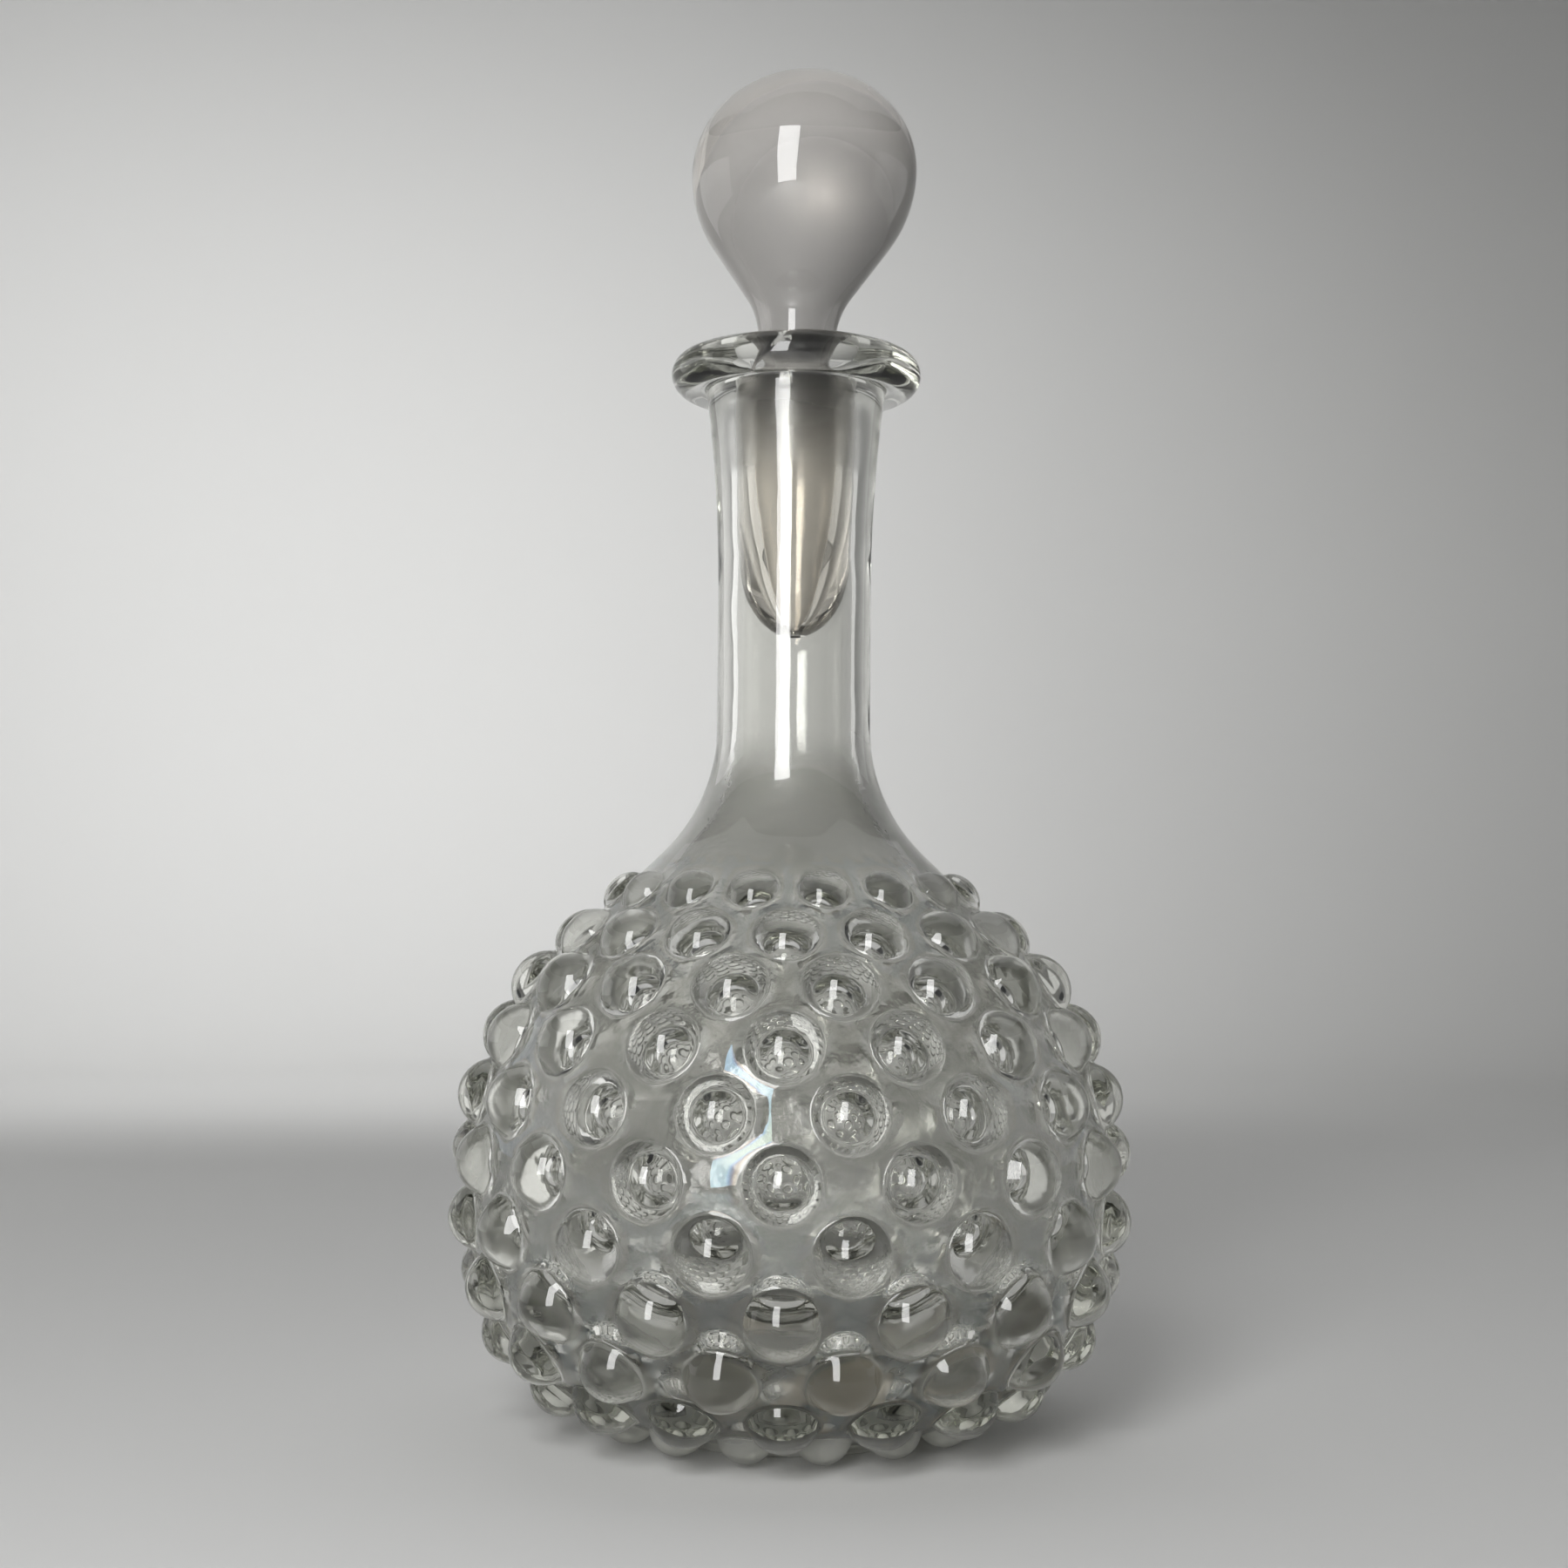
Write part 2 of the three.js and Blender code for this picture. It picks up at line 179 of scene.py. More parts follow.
def skin_sections():
    """Outside and inside of the body, point for point, from the foot to the end of the shoulder.
    The inside has the same angles with each radius less a wall, so equal rows lie face to face."""
    foot_angle = np.arccos((FOOT_RADIUS / BELLY_RADIUS) ** (HEEL_FULLNESS / 2))
    angle = np.linspace(foot_angle, 0, SKIN_STEPS)
    belly = (BELLY_RADIUS - CROWN_ARC_RADIUS, BELLY_HEIGHT)
    sides = []
    for inset, depth in ((0, BELLY_HEIGHT), (WALL, BELLY_HEIGHT - PUSH_UP_HEIGHT - BASE_THICKNESS)):
        crown = arc(belly, CROWN_ARC_RADIUS - inset, 0, SHOULDER_SLOPE, SKIN_STEPS)
        hollow_radius = SHOULDER_ARC_RADIUS + inset
        end_radius = NECK_RADIUS + SHOULDER_ARC_RADIUS - hollow_radius * np.cos(SHOULDER_SLOPE)
        rise = (crown[-1, 0] - end_radius) / np.tan(SHOULDER_SLOPE)
        end = np.array([end_radius, crown[-1, 1] + rise])
        shoulder = straight(crown[-1], end, SKIN_STEPS)
        sides.append(
            np.concatenate([heel(BELLY_RADIUS - inset, depth, angle), crown[1:], shoulder[1:]])
        )
    return sides[0], sides[1], angle


skin_outside, skin_inside, heel_angles = skin_sections()
skin_along = np.append(0, np.cumsum(np.linalg.norm(np.diff(skin_outside, axis=0), axis=1)))
skin_tangent = np.gradient(skin_outside, skin_along, axis=0)


def look_up(table, along):
    """A pair of columns of a table at distances along the outside of the section."""
    return np.stack([np.interp(along, skin_along, column) for column in table.T], axis=-1)


def skin_normal(along):
    """The tangent turned a right angle outwards, at length one."""
    tangent = look_up(skin_tangent, along)
    normal = np.stack([tangent[..., 1], -tangent[..., 0]], axis=-1)
    return normal / np.linalg.norm(normal, axis=-1, keepdims=True)


print("skin", skin_along[-1].round(2), "mm along, ends at", skin_outside[-1].round(2))

# %% [markdown]
# A hob is a little dome pressed out by the mould. The rows are staggered, so the skin falls into
# six-sided cells with a hob in each. Rings of points spread from the top of a dome, over its
# side, round the hollow curve at its foot, and out to the edge of the cell, which the next cell
# shares. That puts the finest faces where the glass bends light most.
# On the inside a shallow dimple answers each hob, as it does where glass is blown into a mould.

# %% Sizes of the hobs
HOBS_PER_ROW = 16
HOB_ROWS = 11
HOB_DIAMETER = 13.4
HOB_HEIGHT = 4.7
HOB_SHARE_OF_PITCH = 0.76
HOB_UPPER_FALL = 0.2
HOB_TABLE_CLEARANCE = 1.2
HOB_FOOT_MARGIN = 0.75
HOB_TOP_MARGIN = 1.95
CELL_SIDE_SHARE = 0.25
HOB_FOOT_RADIUS = 7.05  # out to where the curve round a hob runs out
HOB_SPHERE = 6.85  # radius of the sphere that a full hob is part of
DIMPLE_RADIUS = 3.4
DIMPLE_DEPTH = 1.9
DIMPLE_SPHERE = 3.1
LOW_ROWS = (1, 2, 3)  # counted from 0 at the foot
LOW_DIMPLES = (1.7, 1.3)  # how much wider and deeper the dimples of those rows are

turn = 2 * np.pi / HOBS_PER_ROW
skin_length = skin_along[-1] - HOB_FOOT_MARGIN - HOB_TOP_MARGIN
row_pitch = skin_length / (HOB_ROWS + 1 - 2 * CELL_SIDE_SHARE)
cell_side = CELL_SIDE_SHARE * row_pitch
cell_point = row_pitch - cell_side
row_along = HOB_FOOT_MARGIN + cell_point + row_pitch * np.arange(HOB_ROWS)
print("row pitch", row_pitch.round(3), "mm")


# %% Section of one hob
def dome_section(foot_radius, height, sphere, top_steps, foot_steps):
    """Radius and height of rings from the top down: a sphere until its slope is side_angle, then
    a hollow arc that starts at that slope and runs out level at the foot radius. The angle is
    twice the arc tangent of height over foot radius, which is what makes the two arcs meet."""
    side_angle = 2 * np.arctan(height / foot_radius)
    both = foot_radius / np.sin(side_angle)
    hollow = both - sphere
    down = np.linspace(0, side_angle, top_steps + 1)
    slope = np.linspace(side_angle, 0, foot_steps + 1)[1:]
    radius = np.append(sphere * np.sin(down), foot_radius - hollow * np.sin(slope))
    rise = np.append(height - sphere * (1 - np.cos(down)), hollow * (1 - np.cos(slope)))
    return radius, rise


# %% Outline of a cell
def cell_outline(row, slope_steps, side_steps, end_side_steps, level_steps):
    """Corners of the cell with even steps between them, against the clock: share of half a
    pitch across, and millimetres up from the middle. Also an even angle for each point."""
    if row == 0:
        corners = [(-1, -cell_point), (1, -cell_point)]
        corners += [(1, cell_side), (0, cell_point), (-1, cell_side)]
        steps = [level_steps, end_side_steps, slope_steps, slope_steps, end_side_steps]
        behind = level_steps / 2
    elif row == HOB_ROWS - 1:
        corners = [(0, -cell_point), (1, -cell_side), (1, cell_point)]
        corners += [(-1, cell_point), (-1, -cell_side)]
        steps = [slope_steps, end_side_steps, level_steps, end_side_steps, slope_steps]
        behind = 0
    else:
        corners = [(0, -cell_point), (1, -cell_side), (1, cell_side)]
        corners += [(-x, -y) for x, y in corners]
        steps = [slope_steps, side_steps, slope_steps] * 2
        behind = 0
    edges = zip(corners, corners[1:] + corners[:1], steps)
    points = np.concatenate([np.linspace(a, b, n, endpoint=False) for a, b, n in edges])
    angle = -np.pi / 2 + 2 * np.pi * (np.arange(len(points)) - behind) / len(points)
    return points, angle


# %% Rings of a row of cells
def row_of_cells(row, radius, height, outline, spread, section):
    """Every cell of a row as points [place, ring, column]. The rings of the hob lie round its
    middle, the last ones spread to the outline, and heights stand along the middle's normal."""
    border, angle = outline
    middle = row_along[row]
    across = radius[:, None] * np.cos(angle)
    above = radius[:, None] * np.sin(angle)
    turned = across / look_up(skin_outside, middle + above)[..., 0]
    share = np.asarray(spread)[:, None]
    outer_turned = (1 - share) * turned[-1] + share * border[:, 0] * turn / 2
    outer_above = (1 - share) * above[-1] + share * border[:, 1]
    turned = np.concatenate([turned, outer_turned])
    above = np.concatenate([above, outer_above])
    lift = np.append(height, np.zeros(len(spread)))[:, None]
    foot = look_up(section, middle + above)
    normal = skin_normal(middle)
    stagger = turn / 2 if row % 2 == 0 else 0
    place = (turn * np.arange(HOBS_PER_ROW) + stagger - np.pi / 2)[:, None, None]
    x = foot[..., 0] * np.cos(place + turned) + lift * normal[0] * np.cos(place)
    y = foot[..., 0] * np.sin(place + turned) + lift * normal[0] * np.sin(place)
    z = np.broadcast_to(foot[..., 1] + lift * normal[1], x.shape)
    return np.stack([x, y, z], axis=-1)


def cell_faces(places, rings, columns):
    """Four-sided faces between neighbouring rings and columns, against the clock from outside.
    On the first ring all columns are one point, so those faces end up as triangles."""
    number = np.arange(places * rings * columns).reshape(places, rings, columns)
    after = np.roll(number, -1, axis=2)
    faces = np.stack([number[:, :-1], number[:, 1:], after[:, 1:], after[:, :-1]], axis=-1)
    return faces.reshape(-1, 4)


# %% Patches of glass
WELD = 1e-6  # metres, within which points count as one


class Glass:
    """Collects patches of points and faces, each with named marks that its material reads."""

    def __init__(self, *marks):
        self.points, self.faces, self.marks = [], [], {mark: [] for mark in marks}
        self.count = 0

    def add(self, points, faces, **marks):
        flat = points.reshape(-1, 3)
        self.points.append(flat)
        self.faces.append(faces + self.count)
        self.count += len(flat)
        for name, values in self.marks.items():
            value = np.asarray(marks.get(name, 0.0), float)
            values.append(np.broadcast_to(value, points.shape[:-1]).reshape(-1))

    def make(self, name):
        """One mesh in metres, with points that meet joined and faces without area dropped."""
        mesh = bpy.data.meshes.new(name)
        points = np.concatenate(self.points) / METRE
        faces = np.concatenate(self.faces)
        mesh.from_pydata(points, [], faces)
        for mark, values in self.marks.items():
            layer = mesh.attributes.new(mark, "FLOAT", "POINT")
            layer.data.foreach_set("value", np.concatenate(values).astype(np.float32))
        work = bmesh.new()
        work.from_mesh(mesh)
        bmesh.ops.remove_doubles(work, verts=work.verts, dist=WELD)
        loose = sum(not edge.is_manifold for edge in work.edges)
        volume = work.calc_volume(signed=True)
        triangles = sum(len(face.verts) - 2 for face in work.faces)
        work.to_mesh(mesh)
        work.free()
        mesh.shade_smooth()
        piece = bpy.data.objects.new(name, mesh)
        bpy.context.scene.collection.objects.link(piece)
        print(name, triangles, "triangles,", loose, "open edges")
        if loose == 0:
            print(name, round(volume * MILLILITRES, 1), "ml of glass")
        return piece


def turned(section, columns, bend=None):
    """A section turned about the axis: radius times cosine and sine of the column's angle, which
    may be bent per row and column. Rows that go up the outside, or down the inside, face out."""
    angle = 2 * np.pi * np.arange(columns) / columns - np.pi / 2
    angle = np.broadcast_to(angle, (len(section), columns))
    if bend is not None:
        angle = bend(angle)
    radius, height = section[:, :1], section[:, 1:]
    return np.stack(
        [radius * np.cos(angle), radius * np.sin(angle), np.broadcast_to(height, angle.shape)], -1
    )


def turned_faces(rows, columns):
    """Four-sided faces between neighbouring rows and columns, facing away from the axis where
    the rows go up."""
    number = np.arange(rows * columns).reshape(rows, columns)
    after = np.roll(number, -1, axis=1)
    faces = np.stack([number[:-1], after[:-1], after[1:], number[1:]], axis=-1)
    return faces.reshape(-1, 4)


# %% [markdown]
# The lip is a thick trail of hot glass wound once round the mouth. It swells along its way, so
# where its end meets its start there is a small step, the lap mark. Its columns of points crowd
# towards that mark: bending the angles moves points along their circle and leaves the shape as
# it is, which is cheaper than more columns everywhere.

# %% Neck, lip and bore
COLUMNS = 8 * HOBS_PER_ROW  # eight to each level end of a cell
LIP_OVAL_REACH = 3.85  # half width of the trail in section
LIP_OVAL_RISE = (lip_high[2] - lip_low[2]) / 2
LIP_FILLET = 1.1
MOUTH_ROUNDING = 0.9
LAP_AZIMUTH = np.radians(-100.5)  # a little left of the side that the camera sees
LAP_CROWDING = 0.85
LAP_WIDTH = np.radians(1.6)
LAP_SWELLING = 0.22  # how much further the trail's skin stands out at its end than at its start
LAP_SLANT = 0.05  # of the mark, in radians to the millimetre of height
TRAIL_REACHES = (0.6, 1.6)  # of the trail's oval, between which points belong to its skin
TRAIL_REACH_FADE = 0.4
TRAIL_START = 16.5  # radius at which the swelling begins, so that the bore stays round
TRAIL_START_FADE = 3
OVAL_CUT = 0.2  # out from the neck, where the trail's oval would end without its fillet
FILLET_TURN = 0.35  # radians of the trail's section that the fillet takes up


def outside_above():
    """From the top of the hobbed skin over shoulder, neck and lip to the mouth, then the bore
    and the hollow down to the skin inside. Returns the section and where the lip is in it."""
    top = row_along[-1] + cell_point
    hollow_centre = np.array([NECK_RADIUS + SHOULDER_ARC_RADIUS, 0.0])
    hollow_centre[1] = skin_outside[-1, 1] + SHOULDER_ARC_RADIUS * np.sin(SHOULDER_SLOPE)
    hollow_turn = (np.pi + SHOULDER_SLOPE, np.pi)
    flare_centre = (NECK_RADIUS + NECK_FLARE_ARC_RADIUS, flare_bottom)
    flare_angle = np.arcsin((lip_low[2] - flare_bottom) / NECK_FLARE_ARC_RADIUS)
    flare = arc(flare_centre, NECK_FLARE_ARC_RADIUS, np.pi, np.pi - flare_angle, 9)
    oval_middle = (lip_radius - LIP_OVAL_REACH, lip_middle)
    inward = np.arccos((flare[-1, 0] + OVAL_CUT - oval_middle[0]) / LIP_OVAL_REACH)
    oval = arc(oval_middle, LIP_OVAL_REACH, FILLET_TURN - inward, np.pi / 2, 26, LIP_OVAL_RISE)
    meeting = arc(oval_middle, LIP_OVAL_REACH, -inward, -inward, 1, LIP_OVAL_RISE)[0]
    below = flare[-1] + [0, meeting[1] - flare[-1, 1] - LIP_FILLET]
    rim = bore_radius + GROUND_TAPER * (mouth_height - ground_bottom)
    rounding = (rim + MOUTH_ROUNDING, mouth_height - MOUTH_ROUNDING)
    outer_parts = [
        straight(look_up(skin_outside, top), skin_outside[-1], 2),
        arc(hollow_centre, SHOULDER_ARC_RADIUS, *hollow_turn, 14),
        straight((NECK_RADIUS, hollow_centre[1]), (NECK_RADIUS, flare_bottom), 8)[1:],
        flare,
        rounded(below, meeting, oval[0], 4),
        oval,
        straight(oval[-1], (rim + MOUTH_ROUNDING, mouth_height), 3),
        arc(rounding, MOUTH_ROUNDING, np.pi / 2, np.pi, 4),
    ]
    inner_parts = [
        straight((rim, mouth_height - MOUTH_ROUNDING), (bore_radius, ground_bottom), 16),
        straight((bore_radius, ground_bottom), (bore_radius, hollow_centre[1]), 4),
        arc(hollow_centre, SHOULDER_ARC_RADIUS + WALL, *hollow_turn[::-1], 12),
        straight(skin_inside[-1], look_up(skin_inside, top), 2),
    ]
    return chain(*outer_parts), chain(*inner_parts), oval_middle


def smooth_step(value, start, end):
    """Nought before start and one after end, along three times the square less twice the cube."""
    share = np.clip((value - start) / (end - start), 0, 1)
    return share * share * (3 - 2 * share)


def lap_bend(height):
    """Moves each angle towards the lap mark by a sine of its distance, more the nearer the
    lip the row lies."""
    near = smooth_step(height, flare_bottom, lip_low[2])

    def bend(angle):
        return angle - LAP_CROWDING * near[:, None] * np.sin(angle - LAP_AZIMUTH)

    return bend


def lap_swelling(points, oval_middle):
    """Draws points of the lip in towards the middle line of the trail: by the whole swelling where
    the trail starts, evenly less round to its end, and back across the mark in a smooth step."""
    radius = np.hypot(points[..., 0], points[..., 1])
    azimuth = np.arctan2(points[..., 1], points[..., 0])
    slant = LAP_SLANT * (points[..., 2] - lip_middle)
    past = np.mod(LAP_AZIMUTH - azimuth + slant, 2 * np.pi)
    swell = past / (2 * np.pi) * smooth_step(2 * np.pi - past, 0, LAP_WIDTH)
    away = np.stack([radius - oval_middle[0], points[..., 2] - oval_middle[1]], axis=-1)
    reach = np.linalg.norm(away / [LIP_OVAL_REACH, LIP_OVAL_RISE], axis=-1)
    least, most = TRAIL_REACHES
    on_trail = np.clip((reach - least) / TRAIL_REACH_FADE, 0, 1)
    on_trail *= np.clip((most - reach) / TRAIL_REACH_FADE, 0, 1)
    on_trail *= np.clip((radius - TRAIL_START) / TRAIL_START_FADE, 0, 1)
    push = -LAP_SWELLING * (1 - swell) * on_trail
    direction = away / np.maximum(np.linalg.norm(away, axis=-1, keepdims=True), SAME_POINT)
    outwards = np.stack([np.cos(azimuth), np.sin(azimuth)], axis=-1)
    moved = points.copy()
    moved[..., :2] += (push * direction[..., 0])[..., None] * outwards
    moved[..., 2] += push * direction[..., 1]
    return moved


# %% [markdown]
# Old glass isn't the same all over. The neck was ground matt to take the stopper, the inside
# dried cloudy with brown dregs at the bottom, and standing has worn the underside. Each of these
# is a number on the points of the mesh, called a mark, that the material reads later. A painted
# map could hold them, but a formula of height and azimuth says in one line where they are.

# %% Where the glass is ground or hazy
SATIN_LENGTH = 13.5  # of the ground zone, from its top down, that is still matt
SATIN_FADE = 2.5
SATIN_EDGE = 0.5  # over which the matt ends at the top
HAZE_TOP = 118  # height to which the inside of the body is clouded
HAZE_FADE = 15
DREGS_TOP = 20  # height to which what dried inside dulls the glass more and more
DREGS_HAZE = 2.5  # times the haze above them
STAIN_TOP = 31  # height to which the dregs have a brown stain on one side
STAIN_AZIMUTH = np.radians(-55)
STAIN_EDGE = 0.3  # cosine of the angle away from there at which it ends
STAIN_SHARE = 0.55
WEAR_TOP = 9  # height to which standing has worn the outside dull
WEAR_HAZE = 2  # times the haze inside


def ground_share(height):
    """One in the matt part of the ground zone and nought above and below it."""
    low = ground_top - SATIN_LENGTH
    below = smooth_step(height, low - SATIN_FADE, low)
    return below * smooth_step(height, ground_top + SATIN_EDGE, ground_top)


def dregs(height):
    """One above the dregs, and more towards the foot."""
    return 1 + (DREGS_HAZE - 1) * smooth_step(height, DREGS_TOP, 0)


def stain(points):
    """Most at one azimuth, and nought across from it and above the stain's top."""
    azimuth = np.arctan2(points[..., 1], points[..., 0])
    side = smooth_step(np.cos(azimuth - STAIN_AZIMUTH), STAIN_EDGE, 1)
    return STAIN_SHARE * side * smooth_step(points[..., 2], STAIN_TOP, STAIN_TOP / 2)


def wear(height):
    """Nought where the glass never meets a table, and more towards the foot."""
    return WEAR_HAZE * smooth_step(height, WEAR_TOP, WEAR_TOP / 2)


# %% [markdown]
# Body, neck and base are one skin of glass, and the lip is fused on, so the mesh is one closed
# surface. Its patches are made one after another with matching edges, and points that meet are
# joined at the end. Separate pieces would each need a wall where they touch, and light would
# bend there as it doesn't in the real glass.

# %% The whole bottle
FLOOR_STEPS = 9
OUTER_RINGS = (7, 3)  # on the dome and on the hollow curve round it
INNER_RINGS = (4, 2)
SPREAD = (0.5, 1.0)  # shares of the way from a hob's foot to the edge of its cell
DIMPLE_HAZE = 0.08  # of the haze between the hobs, but near the foot the dimples are as hazy
HAZY_ROWS = 2
OUTER_CELL_STEPS = (5, 4, 5, 8)  # along the sides of a cell, in the order of cell_outline
INNER_CELL_STEPS = (4, 2, 2, 8)
FOOT_EDGE = 1.0  # width of the rounding on both edges of the foot ring
PUSH_UP_END = 0.2  # radians of the push-up's arc that its rounding takes up


def add_hobbed_rows(glass):
    """Every row of cells: domes on the outside, and face to face with them dimples inside."""
    dome = dome_section(HOB_FOOT_RADIUS, HOB_HEIGHT, HOB_SPHERE, *OUTER_RINGS)
    dimple = dome_section(DIMPLE_RADIUS, DIMPLE_DEPTH, DIMPLE_SPHERE, *INNER_RINGS)
    for row in range(HOB_ROWS):
        foot, normal = look_up(skin_outside, row_along[row]), skin_normal(row_along[row])
        size = min(1.0, HOB_SHARE_OF_PITCH * turn * foot[0] / HOB_DIAMETER)
        flat = 1 - HOB_UPPER_FALL * max(0, 2 * row / (HOB_ROWS - 1) - 1)
        room = (foot[1] - HOB_TABLE_CLEARANCE) / -normal[1] if normal[1] < 0 else np.inf
        rise = min(flat * size, room / HOB_HEIGHT)
        outline = cell_outline(row, *OUTER_CELL_STEPS)
        points = row_of_cells(row, dome[0] * size, dome[1] * rise, outline, SPREAD, skin_outside)
        between = np.append(np.zeros(len(dome[0])), np.ones(len(SPREAD)))[:, None]
        faces = cell_faces(*points.shape[:3])
        glass.add(points, faces, skin=between, inside=wear(points[..., 2]))
        outline = cell_outline(row, *INNER_CELL_STEPS)
        wide, deep = np.array([size, rise]) * (LOW_DIMPLES if row in LOW_ROWS else 1)
        points = row_of_cells(row, dimple[0] * wide, dimple[1] * deep, outline, (1.0,), skin_inside)
        least = 1 - (1 - DIMPLE_HAZE) * min(1, row / HAZY_ROWS)
        hazy = np.append(np.full(len(dimple[0]), least), 1.0)[:, None] * dregs(points[..., 2])
        faces = cell_faces(*points.shape[:3])[:, ::-1]
        glass.add(points, faces, inside=hazy, stain=stain(points))


def add_neck(glass):
    """Shoulder, neck and lip outside, then the bore and the hollow down to the skin inside."""
    outer, inner, oval_middle = outside_above()
    points = turned(outer, COLUMNS, lap_bend(outer[:, 1]))
    glass.add(lap_swelling(points, oval_middle), turned_faces(len(outer), COLUMNS))
    points = turned(inner, COLUMNS, lap_bend(inner[:, 1]))
    hazy = smooth_step(inner[:, 1], HAZE_TOP + HAZE_FADE, HAZE_TOP)
    ground = ground_share(inner[:, 1])
    glass.add(points, turned_faces(len(inner), COLUMNS), inside=hazy[:, None], ground=ground[:, None])


def foot_section(start):
    """The push-up, the rounded foot ring and the heel up to where the hobbed skin starts."""
    ring_inner = FOOT_RADIUS - FOOT_RING_WIDTH
    push_up = arc((0, 0), ring_inner, np.pi / 2, PUSH_UP_END, 8, PUSH_UP_HEIGHT)
    push_up[0, 0] = 0
    inner_edge = [(ring_inner, 0.0), (ring_inner + FOOT_EDGE, 0.0)]
    outer_edge = [(FOOT_RADIUS - FOOT_EDGE, 0.0), (FOOT_RADIUS, 0.0)]
    return chain(
        push_up,
        rounded(push_up[-1], *np.array(inner_edge), 3),
        rounded(*np.array(outer_edge), skin_outside[0], 3),
        straight(skin_outside[0], look_up(skin_outside, start), 2),
    )


def add_base(glass):
    """The floor inside, from the skin to the axis, and the foot outside, from the axis out."""
    start = row_along[0] - cell_point
    start_angle = np.interp(start, skin_along[:SKIN_STEPS], heel_angles)
    floor_angle = np.linspace(start_angle, np.pi / 2, FLOOR_STEPS)
    floor = heel(BELLY_RADIUS - WALL, BELLY_HEIGHT - PUSH_UP_HEIGHT - BASE_THICKNESS, floor_angle)
    floor[0] = look_up(skin_inside, start)
    floor[-1, 0] = 0
    points = turned(floor, COLUMNS)
    glass.add(points, turned_faces(len(floor), COLUMNS), inside=dregs(points[..., 2]))
    foot = foot_section(start)
    points = turned(foot, COLUMNS)
    glass.add(points, turned_faces(len(foot), COLUMNS), inside=wear(points[..., 2]))


def build_bottle():
    """One closed surface: hobbed skin, neck, lip and bore, the inside, the floor and the foot."""
    glass = Glass("inside", "ground", "skin", "stain")
    add_hobbed_rows(glass)
    add_neck(glass)
    add_base(glass)
    return glass.make("bottle_glass")


bottle = build_bottle()
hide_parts("bottle", "lip_ring")
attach(bottle, "bottle")

# %% [markdown]
# The stopper is a bubble of glass drawn out into a shank and a plug. It is hollow all the way,
# with a small blow hole at its tip. The plug is ground to the neck, and the ball leans a little
# because it was made by hand. Sections turned about the axis give all of it, and each level is
# then slid sideways, which is simpler than tilting the ball and mending the join.

# %% Sizes of the stopper
GROUND_CLEARANCE = 0.3
PLUG_END_LENGTH = 15
PLUG_WALL = 3.2
PLUG_HOLLOW_LENGTH = 43
BLOW_HOLE_RADIUS = 1.3
SHANK_RISE = 3
SHANK_DRAW = 3.9
SHANK_ARC_RADIUS = 15.3
BULB_RADIUS = 21.8
BULB_LOWER_ARC_RADIUS = 24.4
BULB_FLANK_SLOPE = np.radians(35.2)
BULB_UPPER_HEIGHT = 19.5
BULB_WALL = 2.5
BULB_HOLLOW_DROP = 6
BULB_LEAN = np.radians(2.2)
PAINTED_GLOW_PLACE = (2, -9)  # of a painted bright patch in the mist, a painted highlight: right of the ball's middle, and below it
PAINTED_GLOW_REACH = 6  # over which it fades to about a third
PAINTED_GLOW_SHARE = 0.95  # of the light, that the painted bright patch scatters where it is thickest
HOLLOW_SHIFT = 1.6  # of the round hollow towards +X, past the lean
STOPPER_COLUMNS = 112
BULB_VEIL = 0.24  # share of light that the cloudy glass of the ball scatters
MIST_FADE = 25  # below the mouth, over which the mist in the hollow thins out

shank_height = mouth_height + SHANK_RISE
plug_bottom_radius = bore_radius - GROUND_CLEARANCE
plug_top_radius = plug_bottom_radius + GROUND_TAPER * GROUND_LENGTH
shank_radius = plug_top_radius - SHANK_DRAW


waist = np.array([shank_radius + SHANK_ARC_RADIUS, shank_height])
flank_normal = np.array([np.cos(BULB_FLANK_SLOPE), -np.sin(BULB_FLANK_SLOPE)])
flank_foot = waist - SHANK_ARC_RADIUS * flank_normal
flank_top_radius = BULB_RADIUS - BULB_LOWER_ARC_RADIUS * (1 - flank_normal[0])
flank_rise = (flank_top_radius - flank_foot[0]) / np.tan(BULB_FLANK_SLOPE)
bulb_height = flank_foot[1] + flank_rise - BULB_LOWER_ARC_RADIUS * flank_normal[1]


# %% Section of the stopper
def plug_end(rim, length, steps):
    """A quarter of an ellipse from the blow hole up to a rim."""
    return arc((0, rim[1]), rim[0], -np.arccos(BLOW_HOLE_RADIUS / rim[0]), 0, steps, length)


def shank_curves(plug_top, inset, steps):
    """A cubic curve that draws the plug in to the shank, and the arc of the waist."""
    shank = np.array([shank_radius - inset, shank_height])
    middle = (plug_top[1] + shank[1]) / 2
    t = np.linspace(0, 1, steps + 1)[:, None]
    collar = (
        (1 - t) ** 3 * plug_top
        + 3 * t * (1 - t) ** 2 * np.array([plug_top[0], middle])
        + 3 * t**2 * (1 - t) * np.array([shank[0], middle])
        + t**3 * shank
    )
    arc_end = np.pi - BULB_FLANK_SLOPE
    return collar, arc(waist, SHANK_ARC_RADIUS + inset, np.pi, arc_end, steps)


def stopper_outside():
    """Rounded tip, ground cone, collar, waist, straight flank, lower arc and elliptical top."""
    plug_bottom = np.array([plug_bottom_radius, ground_bottom])
    plug_top = np.array([plug_top_radius, ground_top])
    lower = np.array([BULB_RADIUS - BULB_LOWER_ARC_RADIUS, bulb_height])
    return chain(
        plug_end(plug_bottom, PLUG_END_LENGTH, 14),
        straight(plug_bottom, plug_top, 14),
        *shank_curves(plug_top, 0, 8),
        straight(flank_foot, lower + BULB_LOWER_ARC_RADIUS * flank_normal, 4),
        arc(lower, BULB_LOWER_ARC_RADIUS, -BULB_FLANK_SLOPE, 0, 8),
        arc((0, bulb_height), BULB_RADIUS, 0, np.pi / 2, 26, BULB_UPPER_HEIGHT),
    )


